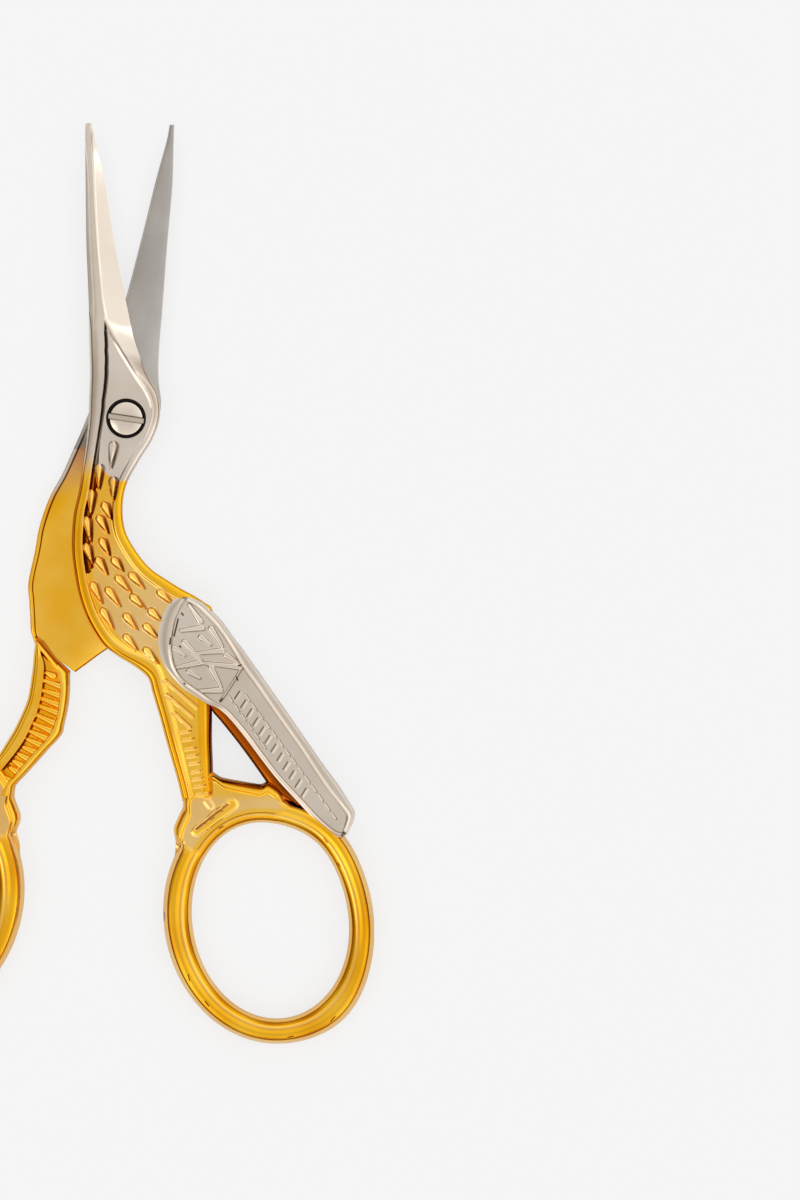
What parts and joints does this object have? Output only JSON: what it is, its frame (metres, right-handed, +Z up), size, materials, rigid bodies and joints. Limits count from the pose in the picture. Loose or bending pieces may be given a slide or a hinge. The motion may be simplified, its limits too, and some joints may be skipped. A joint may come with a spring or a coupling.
{
  "type": "embroidery scissors",
  "caption": "Small scissors in the form of a long-beaked wading bird: blades as beak, feathered neck, folded wing and legs that run into two oval finger rings, on a slotted pivot screw.",
  "frame": {"origin": "where the pivot's axis meets the plane that the scissors lie on", "axes": "+X to the front half's wing and ring, +Y to the blade tips, +Z up from the table to the front half's outer face"},
  "size_m": [0.0702, 0.1144, 0.0037],
  "materials": {
    "gold_plate": "polished gold plate on steel",
    "nickel_plate": "polished nickel plate on steel"
  },
  "bodies": {
    "front": {"front_half": "gold_plate"},
    "back": {"back_half": "gold_plate", "pivot_screw": "nickel_plate"}
  },
  "joints": [
    {"name": "blade_pivot", "type": "hinge", "parent": "front", "child": "back", "pos_m": [0, 0, 0], "axis": [0, 0, -1], "range_deg": [-16, 124]}
  ]
}
